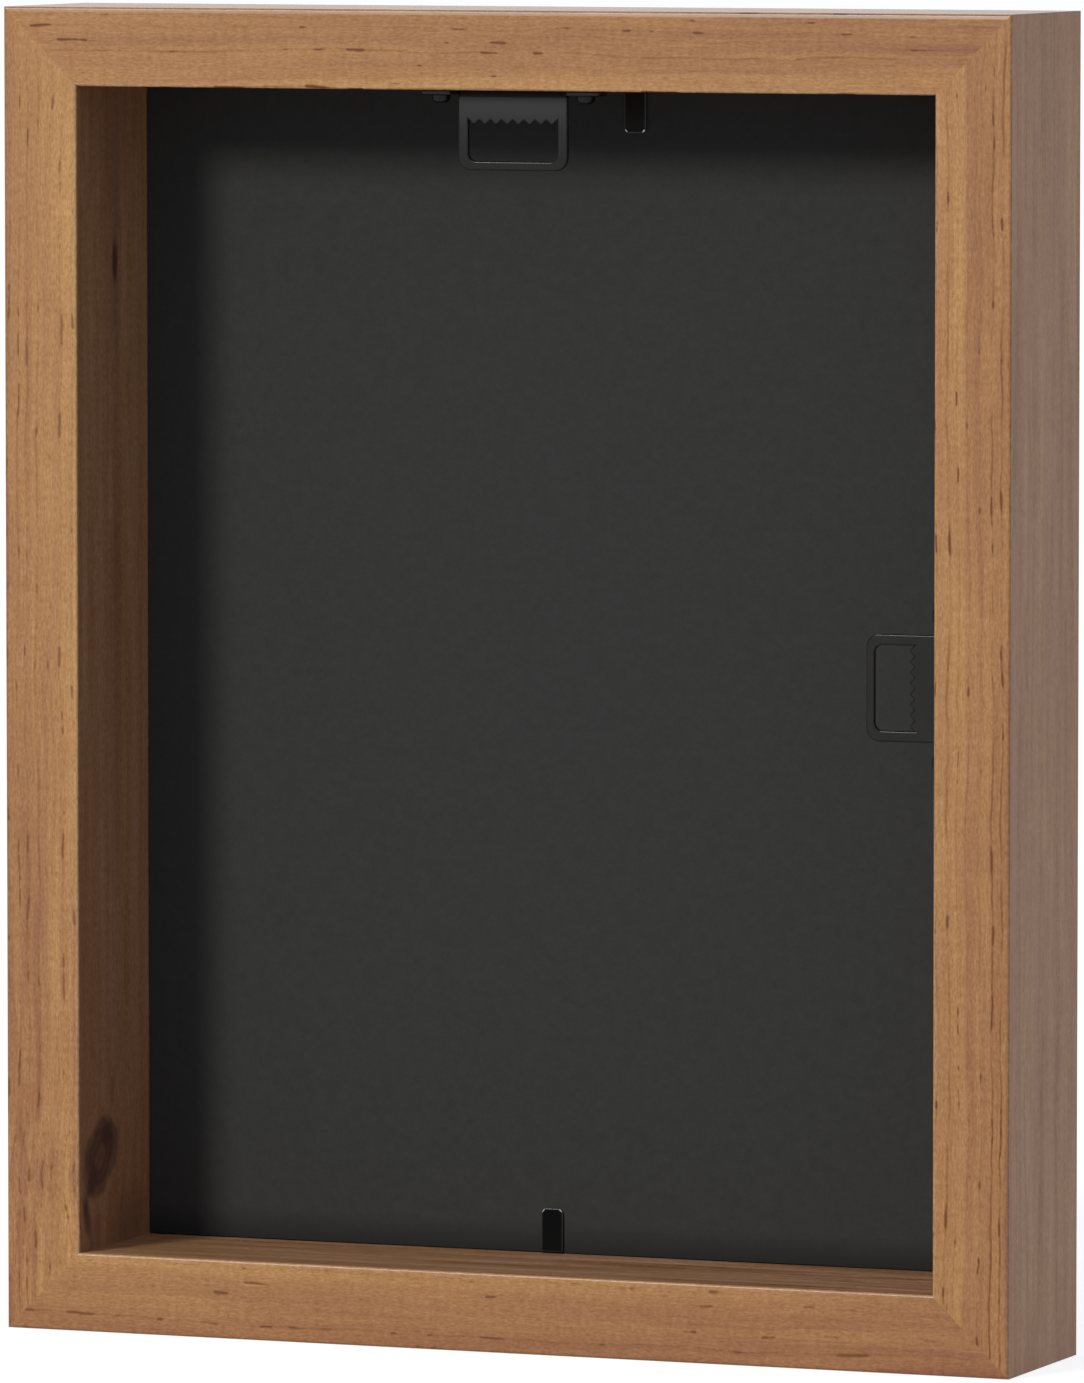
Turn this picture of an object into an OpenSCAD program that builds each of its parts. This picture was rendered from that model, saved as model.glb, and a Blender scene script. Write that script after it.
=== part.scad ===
// Deep wooden shadow box with a rear recess, two sawtooth hangers and bendable panel tabs.
// Millimetres. +Z is up, the glazed front faces -Y, the open back faces +Y.
// The origin is the middle of the underside. Left and right are as seen from the front.

/* [Box] */
// Clear width between the side rails, where the pane and panel drop in
opening_w = 219.9; // [150:0.1:400]
// Clear height between the bottom and top rails
opening_h = 282.6; // [150:0.1:500]
// Depth of the box from front face to rear face
box_depth = 49; // [40:0.5:90]
// Width of a rail across its rear face
rail_w = 19.05; // [14:0.05:35]
// Radius of the eased long edges of the rails
edge_r = 0.6; // [0.2:0.1:1.2]

/* [Front] */
// Reach of the front lip over the pane
lip_reach = 5; // [3:0.5:12]
// Thickness of the front lip
lip_t = 2.8; // [2:0.1:8]
// Thickness of the clear pane
pane_t = 2; // [1:0.1:4]
// Thickness of the backing panel
panel_t = 2; // [1:0.1:5]
// Gap between the edge of a sheet and the rails round it
sheet_gap = 0.3; // [0.1:0.1:0.8]

/* [Corner splines] */
// Width of a spline across its mitre
spline_w = 12; // [8:0.5:14]
// Length of a spline along the depth of the box
spline_l = 30; // [15:1:34]
// Thickness of a spline
spline_t = 3; // [2:0.5:5]
// Glue gap on each side of a spline in its slot
spline_gap = 0.1; // [0.05:0.05:0.3]

/* [Hangers] */
// Thickness of the hanger steel
hanger_t = 1.2; // [0.6:0.1:1.4]
// Distance from the rear face in to the hanger plates
hanger_setback = 6; // [4:0.5:12]
// Reach of a hanger plate from the wall that carries it
hanger_drop = 19.1; // [17:0.1:30]
// Width of the top hanger's plate
top_plate_w = 28; // [20:0.5:60]
// Place of the top hanger's middle along the top rail
top_hanger_x = -1; // [-40:0.5:40]
// Width of the side hanger's plate
side_plate_w = 25.4; // [20:0.2:60]
// Height of the side hanger's middle above the middle of the box
side_hanger_rise = 1.5; // [-40:0.5:40]
// Outer radius of the bend between the flange and the plate
bend_r = 2; // [1.8:0.1:4]
// Radius of the plate's free corners
plate_corner_r = 3.2; // [1:0.1:5]
// Length of a screw ear beside the plate
ear_l = 9.2; // [7:0.1:14]
// Depth of the flange along the wall
flange_d = 7; // [6:0.5:12]
// Reach of the ears behind the plate
ear_rear = 3; // [0:0.1:3.5]
// Radius of the corners of the ears
ear_corner_r = 2.2; // [0.5:0.1:3]
// Width of the relief notch between an ear and the bend
notch_w = 0.8; // [0.5:0.1:1.5]
// Length that the relief notch runs past the bend
notch_past = 0.5; // [0.2:0.1:1.5]

/* [Sawtooth window] */
// Width of the steel left at each side of the window
window_border = 2.55; // [1.5:0.05:4]
// Height of the bar below the window
window_bar = 2.1; // [1.5:0.05:4]
// Radius of the window's lower corners
window_corner_r = 2; // [0.5:0.1:2.5]
// Distance from the wall to the roots of the teeth
tooth_root = 7.1; // [5:0.1:9]
// Height of a tooth
tooth_h = 1.25; // [0.6:0.05:2]
// Number of teeth
tooth_count = 8; // [4:1:16]

/* [Screws] */
// Diameter of a screw's shank
screw_d = 2.4; // [1.8:0.1:3]
// Length of a screw below its head, with its point
screw_l = 10; // [6:0.5:13]
// Length of the screw's point
screw_point = 2.4; // [1:0.1:4]
// Diameter of a screw's pan head
head_d = 4.5; // [3.6:0.1:6]
// Height of a pan head on the top hanger's screws
top_head_h = 2.1; // [1:0.1:2.5]
// Height of a pan head on the side hanger's screws, which hide behind the rail
side_head_h = 1.1; // [1:0.1:2.5]
// Width of an arm of the cross recess
recess_w = 0.7; // [0.4:0.1:1]
// Length of the cross recess from arm end to arm end
recess_l = 2.6; // [1.5:0.1:3.2]
// Depth of the cross recess as a share of the head's height
recess_share = 0.5; // [0.3:0.05:0.6]
// Gap round the shank in its pilot hole
pilot_gap = 0.05; // [0.02:0.01:0.2]
// Gap round the shank in the hole of its ear
ear_hole_gap = 0.3; // [0.1:0.05:0.6]

/* [Tabs] */
// Width of a flexible tab
tab_w = 5.5; // [3:0.1:10]
// Thickness of a flexible tab
tab_t = 0.5; // [0.3:0.05:0.8]
// Reach of a tab over the panel, from its bend
tab_reach = 10.6; // [6:0.1:14]
// Radius of the free corners of a tab
tab_corner_r = 1.3; // [0.3:0.1:1.5]
// Length of a tab driven into its rail
tab_shank_l = 8; // [4:0.5:11]
// Gap between a tab and the panel, and between its bend and the wall
tab_gap = 0.15; // [0.1:0.05:0.4]
// Gap round a tab's shank in its slot
shank_gap = 0.05; // [0.02:0.01:0.2]
// Place of the top tab along the top rail
top_tab_x = -18.3; // [-60:0.1:60]
// Place of the bottom tab along the bottom rail
bottom_tab_x = 3.1; // [-60:0.1:60]

/* [Hidden] */
$fn = 64;
// Cuts run this far past the faces that they open
past = 1;
box_w = opening_w + 2*rail_w;
box_h = opening_h + 2*rail_w;
front_y = -box_depth/2;
rear_y = box_depth/2;
lip_y = front_y + lip_t;
pane_y = lip_y + pane_t;
panel_y = pane_y + panel_t;
lip_depth = rail_w + lip_reach;
top_wall_z = box_h - rail_w;
bottom_wall_z = rail_w;
left_wall_x = -opening_w/2;
hanger_y = rear_y - hanger_setback;
tooth_tip = tooth_root + tooth_h;
window_foot = hanger_drop - window_bar;
tab_y = panel_y + tab_gap + tab_t/2;
tab_axis_drop = tab_t/2 + tab_gap;

wood = "#9c714c";
charcoal = "#343432";
black_steel = "#1c1c1c";
clear = "#dfe8ea66";
spline_wood = "#c9a876";

// Waste outside a rounded corner at the origin, for an outline that lies towards +x and +y
module corner_waste(r) {
    difference() {
        translate([-past, -past]) square(r + past);
        translate([r, r]) circle(r);
    }
}

// The same waste at a corner whose outline lies towards the signs sx and sy
module corner_waste_at(x, y, sx, sy, r) {
    translate([x, y]) mirror([sx < 0 ? 1 : 0, 0]) mirror([0, sy < 0 ? 1 : 0]) corner_waste(r);
}

// Turns an outline drawn in depth and height into a bar along X
module bar_along_x(length) {
    rotate([90, 0, 90]) linear_extrude(length, center = true) children();
}

// Turns an outline drawn in width and height into a plate whose rear face is at Y = 0
module plate_behind(t) {
    rotate([90, 0, 0]) linear_extrude(t) children();
}

// Section of a rail in depth and height: its outer face is at height 0 and its lip hangs at the front
module rail_section() {
    difference() {
        union() {
            translate([front_y, -rail_w]) square([box_depth, rail_w]);
            translate([front_y, -lip_depth]) square([lip_t, lip_depth]);
        }
        corner_waste_at(front_y, 0, 1, -1, edge_r);
        corner_waste_at(rear_y, 0, -1, -1, edge_r);
        corner_waste_at(rear_y, -rail_w, -1, 1, edge_r);
        corner_waste_at(front_y, -lip_depth, 1, 1, edge_r);
    }
}

// A rail along X with both ends mitred, its outer face at Z = 0
module rail(length) {
    intersection() {
        bar_along_x(length) rail_section();
        translate([0, rear_y + past, 0]) plate_behind(box_depth + 2*past)
            polygon([
                [-length/2, 0], [length/2, 0],
                [length/2 - lip_depth, -lip_depth], [lip_depth - length/2, -lip_depth]
            ]);
    }
}

// A spline, or its slot with a gap all round, across the mitre of the corner at the signs sx and sz
module spline(sx, sz, gap = 0) {
    translate([sx*(box_w - rail_w)/2, 0, box_h/2 + sz*(box_h - rail_w)/2])
        rotate([0, 45*sx*sz, 0])
            cube([spline_w + 2*gap, spline_l + 2*gap, spline_t + 2*gap], center = true);
}

// Slots for the splines at all four corners
module spline_slots() {
    for (sx = [-1, 1], sz = [-1, 1]) spline(sx, sz, spline_gap);
}

// Carries a hanger's own frame to the top rail: the wall is Z = 0 and the plate hangs down
module on_top_wall() {
    translate([top_hanger_x, hanger_y, top_wall_z]) children();
}

// Carries a hanger's own frame to the left rail: the plate reaches into the box
module on_left_wall() {
    translate([left_wall_x, hanger_y, box_h/2 + side_hanger_rise]) rotate([0, -90, 0]) children();
}

// Carries a tab's own frame to the top rail: the wall is Z = 0 and the tab hangs down
module on_top_tab() {
    translate([top_tab_x, tab_y, top_wall_z]) children();
}

// Carries a tab's own frame to the bottom rail: the tab stands up
module on_bottom_tab() {
    translate([bottom_tab_x, tab_y, bottom_wall_z]) rotate([0, 180, 0]) children();
}

// Middle of the ear at the sign side, in a hanger's own frame
function ear_middle(plate_w, side) = [side*(plate_w + ear_l)/2, ear_rear - flange_d/2, 0];

// Section of the bent strip in depth and height: flange on the wall, bend, and plate
module bent_section() {
    flange_front = flange_d - ear_rear;
    translate([-flange_front, -hanger_t]) square([flange_front - bend_r, hanger_t]);
    translate([-hanger_t, -hanger_drop]) square([hanger_t, hanger_drop - bend_r]);
    translate([-bend_r, -bend_r]) intersection() {
        difference() {
            circle(bend_r);
            circle(bend_r - hanger_t);
        }
        square(bend_r);
    }
}

// Outline of the flange with its two ears, cut away behind the bend with a relief notch at each side
module flange_outline(plate_w) {
    flange_l = plate_w + 2*ear_l;
    difference() {
        translate([-flange_l/2, ear_rear - flange_d]) square([flange_l, flange_d]);
        for (sx = [-1, 1], sy = [-1, 1])
            corner_waste_at(sx*flange_l/2, ear_rear - (sy < 0 ? flange_d : 0), -sx, -sy, ear_corner_r);
        translate([-plate_w/2 - notch_w, -bend_r - notch_past])
            square([plate_w + 2*notch_w, bend_r + notch_past + ear_rear + past]);
    }
}

// Outline of the window: sawtooth edge above, rounded corners below
module window_outline(plate_w) {
    w = plate_w - 2*window_border;
    half_pitch = w/(2*tooth_count);
    saw = [for (i = [0:2*tooth_count]) [-w/2 + i*half_pitch, i % 2 == 0 ? -tooth_root : -tooth_tip]];
    difference() {
        polygon(concat(saw, [[w/2, -window_foot], [-w/2, -window_foot]]));
        for (sx = [-1, 1]) corner_waste_at(sx*w/2, -window_foot, -sx, 1, window_corner_r);
    }
}

// A stamped hanger: its flange lies on the wall at Z = 0 and its plate's rear face is Y = 0
module hanger(plate_w) {
    difference() {
        union() {
            bar_along_x(plate_w) bent_section();
            translate([0, 0, -hanger_t]) linear_extrude(hanger_t) flange_outline(plate_w);
        }
        translate([0, past, 0]) plate_behind(hanger_t + 2*past) {
            window_outline(plate_w);
            for (sx = [-1, 1]) corner_waste_at(sx*plate_w/2, -hanger_drop, -sx, 1, plate_corner_r);
        }
        for (side = [-1, 1])
            translate(ear_middle(plate_w, side))
                cylinder(d = screw_d + 2*ear_hole_gap, h = 2*(hanger_t + past), center = true);
    }
}

// Half section of a pan head that hangs from height 0: flat underside, straight rim, domed top
module head_section(head_h) {
    rim = head_h/3;
    crown = head_h - rim;
    dome_r = (pow(head_d/2, 2) + crown*crown)/(2*crown);
    intersection() {
        translate([0, -head_h]) square([head_d/2, head_h]);
        translate([0, dome_r - head_h]) circle(dome_r);
    }
}

// A pan-head screw in the ear at the sign side, its shank running into the wall
module screw(plate_w, side, head_h) {
    translate(ear_middle(plate_w, side) - [0, 0, hanger_t]) {
        difference() {
            rotate_extrude() head_section(head_h);
            for (turn = [0, 90])
                rotate(turn) translate([-recess_l/2, -recess_w/2, -head_h - past])
                    cube([recess_l, recess_w, recess_share*head_h + past]);
        }
        cylinder(d = screw_d, h = screw_l - screw_point);
        translate([0, 0, screw_l - screw_point]) cylinder(d1 = screw_d, d2 = 0, h = screw_point);
    }
}

// Pilot holes in the wall for both screws of a hanger
module pilot_holes(plate_w) {
    for (side = [-1, 1])
        translate(ear_middle(plate_w, side) - [0, 0, past])
            cylinder(d = screw_d + 2*pilot_gap, h = screw_l - hanger_t + pilot_gap + past);
}

// The bendable reach of a tab, from its bend just below the wall at Z = 0
module tab_blade() {
    translate([0, tab_t/2, -tab_axis_drop]) plate_behind(tab_t) difference() {
        translate([-tab_w/2, -tab_reach]) square([tab_w, tab_reach]);
        for (sx = [-1, 1]) corner_waste_at(sx*tab_w/2, -tab_reach, -sx, 1, tab_corner_r);
    }
}

// The stretch of a tab driven into the wall, or its slot with a gap all round
module tab_shank(gap = 0, below = 0) {
    translate([-tab_w/2 - gap, -tab_t/2 - gap, -below])
        cube([tab_w + 2*gap, tab_t + 2*gap, tab_shank_l + gap + below]);
}

// Slot in a rail for a tab's shank
module tab_slot() {
    tab_shank(shank_gap, past);
}

// A sheet that fills the opening between two depths
module sheet(y, t) {
    w = opening_w - 2*sheet_gap;
    h = opening_h - 2*sheet_gap;
    translate([-w/2, y, bottom_wall_z + sheet_gap]) cube([w, t, h]);
}

module top_rail() {
    color(wood) difference() {
        translate([0, 0, box_h]) rail(box_w);
        spline_slots();
        on_top_wall() pilot_holes(top_plate_w);
        on_top_tab() tab_slot();
    }
}

module bottom_rail() {
    color(wood) difference() {
        rotate([0, 180, 0]) rail(box_w);
        spline_slots();
        on_bottom_tab() tab_slot();
    }
}

module left_rail() {
    color(wood) difference() {
        translate([-box_w/2, 0, box_h/2]) rotate([0, -90, 0]) rail(box_h);
        spline_slots();
        on_left_wall() pilot_holes(side_plate_w);
    }
}

module right_rail() {
    color(wood) difference() {
        translate([box_w/2, 0, box_h/2]) rotate([0, 90, 0]) rail(box_h);
        spline_slots();
    }
}

module top_left_spline() { color(spline_wood) spline(-1, 1); }
module top_right_spline() { color(spline_wood) spline(1, 1); }
module bottom_left_spline() { color(spline_wood) spline(-1, -1); }
module bottom_right_spline() { color(spline_wood) spline(1, -1); }

module glazing_pane() { color(clear) sheet(lip_y, pane_t); }
module backing_panel() { color(charcoal) sheet(pane_y, panel_t); }

module top_hanger() { color(black_steel) on_top_wall() hanger(top_plate_w); }
module top_hanger_left_screw() { color(black_steel) on_top_wall() screw(top_plate_w, -1, top_head_h); }
module top_hanger_right_screw() { color(black_steel) on_top_wall() screw(top_plate_w, 1, top_head_h); }

module side_hanger() { color(black_steel) on_left_wall() hanger(side_plate_w); }
module side_hanger_upper_screw() { color(black_steel) on_left_wall() screw(side_plate_w, 1, side_head_h); }
module side_hanger_lower_screw() { color(black_steel) on_left_wall() screw(side_plate_w, -1, side_head_h); }

module top_tab() { color(black_steel) on_top_tab() tab_blade(); }
module top_tab_shank() { color(black_steel) on_top_tab() tab_shank(); }
module bottom_tab() { color(black_steel) on_bottom_tab() tab_blade(); }
module bottom_tab_shank() { color(black_steel) on_bottom_tab() tab_shank(); }

top_rail();
bottom_rail();
left_rail();
right_rail();
top_left_spline();
top_right_spline();
bottom_left_spline();
bottom_right_spline();
glazing_pane();
backing_panel();
top_hanger();
top_hanger_left_screw();
top_hanger_right_screw();
side_hanger();
side_hanger_upper_screw();
side_hanger_lower_screw();
top_tab();
top_tab_shank();
bottom_tab();
bottom_tab_shank();
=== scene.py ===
import math

import bmesh
import bpy
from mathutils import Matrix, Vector


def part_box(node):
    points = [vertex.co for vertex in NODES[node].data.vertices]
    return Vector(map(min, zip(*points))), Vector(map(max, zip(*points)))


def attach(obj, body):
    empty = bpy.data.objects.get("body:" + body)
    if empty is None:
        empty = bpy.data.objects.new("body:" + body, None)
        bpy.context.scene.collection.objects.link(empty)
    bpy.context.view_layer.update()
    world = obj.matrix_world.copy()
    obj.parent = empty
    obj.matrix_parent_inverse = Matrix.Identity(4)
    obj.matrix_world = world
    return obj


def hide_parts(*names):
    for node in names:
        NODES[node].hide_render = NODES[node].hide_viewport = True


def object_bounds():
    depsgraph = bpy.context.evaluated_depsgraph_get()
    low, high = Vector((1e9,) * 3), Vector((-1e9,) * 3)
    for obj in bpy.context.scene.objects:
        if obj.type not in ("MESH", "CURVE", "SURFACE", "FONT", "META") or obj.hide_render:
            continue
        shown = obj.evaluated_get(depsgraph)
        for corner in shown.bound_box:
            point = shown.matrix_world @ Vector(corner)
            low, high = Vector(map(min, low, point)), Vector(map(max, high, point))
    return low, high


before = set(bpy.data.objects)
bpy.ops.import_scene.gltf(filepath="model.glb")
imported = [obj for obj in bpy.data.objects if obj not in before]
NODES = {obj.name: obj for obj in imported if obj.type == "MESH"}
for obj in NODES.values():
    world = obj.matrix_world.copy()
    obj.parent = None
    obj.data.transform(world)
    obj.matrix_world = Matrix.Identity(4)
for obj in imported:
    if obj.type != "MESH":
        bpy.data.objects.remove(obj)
cad_low, cad_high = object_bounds()

MM = 0.001
CENTRE = (cad_low + cad_high) / 2

# Camera, solved from the straight edges of the box in the photograph
IMAGE_LONG_SIDE = 1383
SENSOR = 36.0
FOCAL_PIXELS = 12110
CAMERA_AZIMUTH = math.radians(201.848)
CAMERA_ELEVATION = math.radians(4.379)
CAMERA_DISTANCE = 2.9068
AIM_RIGHT = 1.025 * MM
AIM_UP = -3.371 * MM

# Studio: one large soft key from behind and above, a weak fill on the front, a pale sky and a pale floor
KEY_TOWARDS = Vector((0.44, 1.0, 0.477)).normalized()
KEY_DISTANCE = 12.0
KEY_SIZE = 2.65
KEY_POWER = 940.0
FILL_PLACE = Vector((-1.7, -1.5, 0.5))
FILL_SIZE = 1.2
FILL_POWER = 1.2
SKY_LEVEL = 0.44
SKY_TINT = (0.94, 1.0, 1.2, 1)
WHITE = (1, 1, 1, 1)
FLOOR_HALF = 40.0
FLOOR_DROP = 0.1 * MM
FLOOR_COLOUR = (0.55, 0.55, 0.55, 1)
FLOOR_SHADE = (0.4, 0.4, 0.4, 1)
FLOOR_GLOW = 0.8

# Wood stock in millimetres: every rail has the same section, whose faces fade into each other at its edges
RAIL_W = 19.05
REAR = cad_high.y / MM
RING_W = 2.5
REAR_FADE = (0.7, 1.6)
OUTER_FADE = (RAIL_W - 0.9, RAIL_W - 0.2)
WALL_FADE = (0.2, 1.2)
EASED_EDGE = (0.3, 1.2)
# How far in from the outer face the painted highlight line runs
EDGE_HIGHLIGHT_INSET = 0.8

# Stain and wood colours, with painted haze, highlight and sheen among them
HONEY = (0.456, 0.233, 0.078, 1)
BROWN = (0.281, 0.116, 0.047, 1)
# Painted haze of cool light, greying the inner walls
INSIDE_HAZE = (0.332, 0.171, 0.087, 1)
RESIN = (0.135, 0.036, 0.006, 1)
KNOT = (0.1, 0.043, 0.032, 1)
# Pale rub along the eased edges by the opening, partly a painted highlight
RUB_HIGHLIGHT_PALE = (0.46, 0.29, 0.16, 1)
# Painted highlight along the top rail's outer rear edge
EDGE_HIGHLIGHT = (0.62, 0.47, 0.35, 1)
# Painted sheen: greys the outer faces where light grazes them
OUTER_SHEEN = (0.9, 0.94, 0.99, 1)
SPLINE_PALE = (0.62, 0.44, 0.22, 1)
SPLINE_DEEP = (0.5, 0.33, 0.15, 1)

# Grain in millimetres: how far each pattern reaches along a rail, out from its opening and in from its rear
SLOW_WANDER = (120.0, 60.0, 60.0)
QUICK_WANDER = (27.0, 14.0, 14.0)
TREMBLE = (6.0, 5.0, 5.0)
DRIFT = (50.0, 7.0, 9.0)
STREAK = (85.0, 2.0, 4.0)
FIBRE = (5.0, 0.3, 0.5)
MOTTLE = (1.3, 0.6, 0.8)
CURL = (2.2, 5.5, 5.5)
TICK = (13.0, 1.6, 1.6)
RAGGED = (6.0, 6.0, 5.0)
SPLINE_FIBRE = (9.0, 9.0, 0.5)

# How much the grain shows in the stain, and the stain's satin finish
FIBRE_SHADE = 0.22
MOTTLE_SHADE = 0.46
CURL_SHADE = 0.12
OUTER_STREAKS = 0.5
TICK_SHARE = 0.7
SEAM_DARK = 0.85
WOOD_ROUGHNESS = 0.46
WOOD_POLISH = 0.2
WOOD_SPECULAR = 0.25
WOOD_RELIEF = 0.02

# Each rail: the axis it runs along, the axis and side it faces outwards, and its own stock. Pairs hold for
# its low and high ends: tone, how much browner its outer edge is, width and strength of the honey band by
# its opening, figure, streaks on its walls, painted sheen that greys its outer face, and the painted
# highlight line along its rim. Lines are the long ones and the dashes
RAILS = {
    "top_rail": {
        "along": "x", "across": "z", "outward": 1, "polish": 1.0, "rim": (0.7, 0.25),
        "tones": (0.66, 0.35), "slope": (0.0, 0.0), "honey_w": (7.0, -0.7), "honey": (1.0, 1.0),
        "figure": (0.6, 0.2), "wall": (0.4, 0.4), "painted_sheen": (0.8, 0.8), "lines": (0.45, 1.3),
        "pith": (-112.0, 64.0), "seed": 11.0,
    },
    "bottom_rail": {
        "along": "x", "across": "z", "outward": -1, "polish": 0.0, "rim": (0.0, 0.0),
        "tones": (0.8, 0.46), "slope": (0.45, 0.7), "honey_w": (3.4, 3.4), "honey": (0.1, 0.5),
        "figure": (0.5, 0.25), "wall": (1.6, 0.4), "painted_sheen": (0.8, 0.8), "lines": (0.3, 1.0),
        "pith": (-96.0, 88.0), "seed": 57.0,
    },
    "left_rail": {
        "along": "z", "across": "x", "outward": -1, "polish": 0.0, "rim": (0.0, 0.0),
        "tones": (0.62, 0.52), "slope": (0.0, 0.05), "honey_w": (7.8, 7.6), "honey": (0.65, 0.9),
        "figure": (0.6, 0.7), "wall": (0.4, 0.4), "painted_sheen": (0.1, 0.8), "lines": (0.9, 1.2),
        "pith": (-120.0, 58.0), "seed": 203.0,
    },
    "right_rail": {
        "along": "z", "across": "x", "outward": 1, "polish": 0.0, "rim": (0.0, 0.0),
        "tones": (0.65, 0.22), "slope": (0.4, 0.5), "honey_w": (6.5, 6.5), "honey": (0.15, 0.15),
        "figure": (1.25, 0.35), "wall": (0.4, 0.4), "painted_sheen": (0.8, 0.8), "lines": (0.3, 0.85),
        "pith": (-104.0, 70.0), "seed": 371.0,
    },
}

# Marks on the wall that the photograph looks onto: u up the rail, w in from the rear face
MARKED_RAIL = "right_rail"
BRANCH_KNOT = {"u": 41.2, "w": 12.8, "radius": 7.8, "stretch": 1.36, "lean": 50.0, "dark": 0.86}
STAINS_AND_SHADE = (
    {"u": 47.0, "w": 17.0, "radius": 3.0, "stretch": 1.4, "lean": 40.0, "dark": 0.4},
    {"u": 35.4, "w": 8.0, "radius": 3.0, "stretch": 1.6, "lean": 30.0, "dark": 0.36},
    {"u": 41.0, "w": 5.4, "radius": 2.0, "stretch": 2.0, "lean": 0.0, "dark": 0.22},
    {"u": 57.0, "w": 20.5, "radius": 1.6, "stretch": 3.4, "lean": 8.0, "dark": 0.3},
    {"u": 26.5, "w": 5.0, "radius": 2.6, "stretch": 1.9, "lean": -10.0, "dark": 0.85},
    {"u": 30.4, "w": 3.6, "radius": 2.0, "stretch": 1.6, "lean": 0.0, "dark": 0.6},
    {"u": 24.0, "w": 11.0, "radius": 2.2, "stretch": 3.0, "lean": 0.0, "dark": 0.35},
    {"u": 22.0, "w": 30.0, "radius": 12.0, "stretch": 1.0, "lean": 0.0, "dark": 0.4},
    {"u": 18.0, "w": 7.5, "radius": 1.9, "stretch": 4.5, "lean": 6.0, "dark": 0.3},
    {"u": 178.0, "w": 23.0, "radius": 3.6, "stretch": 34.0, "lean": 0.0, "dark": 0.22},
    {"u": 259.0, "w": 22.9, "radius": 1.9, "stretch": 3.2, "lean": 0.0, "dark": 0.75},
    {"u": 262.0, "w": 23.2, "radius": 3.4, "stretch": 9.0, "lean": 0.0, "dark": 0.25},
    # Painted shade at the top of the wall, under the top rail
    {"u": 294.0, "w": 20.0, "radius": 20.0, "stretch": 1.5, "lean": 0.0, "dark": 0.2},
)

# Pane and board, with the sizes of their patterns in millimetres
PANE_TINT = (0.97, 0.985, 0.98, 1)
PANE_IOR = 1.49
PANE_HAZE = (30.0, 30.0, 30.0)
BOARD_PALE = (0.0385, 0.0385, 0.0355, 1)
BOARD_DEEP = (0.0325, 0.0325, 0.0295, 1)
# Colour of the painted shade along the board's foot
BOARD_FOOT_SHADE = (0.014, 0.014, 0.013, 1)
BOARD_GRAIN = (0.5, 0.5, 0.5)
BOARD_BLOTCH = (2.4, 2.4, 2.4)
BOARD_RELIEF = 0.02
# How far up the board's foot the painted shade reaches, in millimetres, and how strong it is
FOOT_SHADE_REACH = 8.0
FOOT_SHADE_DARK = 0.85

# Black paints: how pale the black is, its roughness and gloss, and its orange peel in millimetres
PAINTS = {
    "hanger_edge_black": {"base": 0.001, "rough": 0.15, "gloss": 0.2, "peel": 0.5},
    "top_hanger_black": {"base": 0.004, "rough": 0.2, "gloss": 0.2, "peel": 0.5},
    "side_hanger_black": {"base": 0.0065, "rough": 0.2, "gloss": 0.2, "peel": 0.5},
    # The two tabs are one paint: the top tab's black is paler, as painted light where the top rail shades
    # it, and the bottom tab's darker, as painted shade where it is lit
    "top_tab_black": {"base": 0.008, "rough": 0.2, "gloss": 0.05, "peel": 0.6},
    "top_tab_edge_black": {"base": 0.008, "rough": 0.25, "gloss": 0.5, "peel": 0.6},
    "bottom_tab_black": {"base": 0.0006, "rough": 0.2, "gloss": 0.05, "peel": 0.6},
    "bottom_tab_edge_black": {"base": 0.008, "rough": 0.25, "gloss": 0.5, "peel": 0.6},
    "black_screw": {"base": 0.0015, "rough": 0.3, "gloss": 0.2, "peel": 0.4},
}
PAINT_WEAR = (5.0, 5.0, 5.0)
PEEL_RELIEF = 0.006

# Painted light: a paler grey down the top hanger's plate and loop, and painted glints of bare steel round
# the tabs' free corners
PLATE_LIGHT_GREY = (0.0265, 0.0252, 0.024, 1)
PLATE_FADE = (5.0, 9.0)
LOOP_FADE = (11.0, 16.0)
LOOP_LIGHT = 0.25
GLINT_STEEL = (0.42, 0.42, 0.41, 1)
GLINT_FADE = (0.7, 1.0)
GLINT_RAGGED = (0.7, 0.7, 0.7)
GLINT_SWING = 0.3

# Sheared edges of the stamped hangers and tabs, and how their CAD meshes are merged before rounding
HANGER_ROUND = 0.35 * MM
TAB_ROUND = 0.2 * MM
ROUND_STEPS = 3
MERGE_GAP = 0.002 * MM
FLAT_ANGLE = math.radians(0.5)
SHEARED_ANGLE = math.radians(30)

# Hanger screws: heads against the ears, shanks into the rails
SCREW_SIZES = {
    "Head diameter": 4.5 * MM,
    "Shank diameter": 2.4 * MM,
    "Shank length": 10.0 * MM,
    "Point length": 2.4 * MM,
    "Thread pitch": 1.1 * MM,
    "Thread depth": 0.3 * MM,
    "Recess length": 2.6 * MM,
    "Recess width": 0.7 * MM,
}
SCREW_SETS = {
    "top_hanger_screws": {
        "nodes": ("top_hanger_left_screw", "top_hanger_right_screw"),
        "drive": Vector((0, 0, 1)), "head": 2.1 * MM,
    },
    "side_hanger_screws": {
        "nodes": ("side_hanger_upper_screw", "side_hanger_lower_screw"),
        "drive": Vector((-1, 0, 0)), "head": 1.1 * MM,
    },
}
SCREW_ROUND = 48
SCREW_ROWS = 130
SCREW_SEED = 4
SCREW_SEAM = 0.001 * MM
SCREW_SHARP = math.radians(40)


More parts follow.
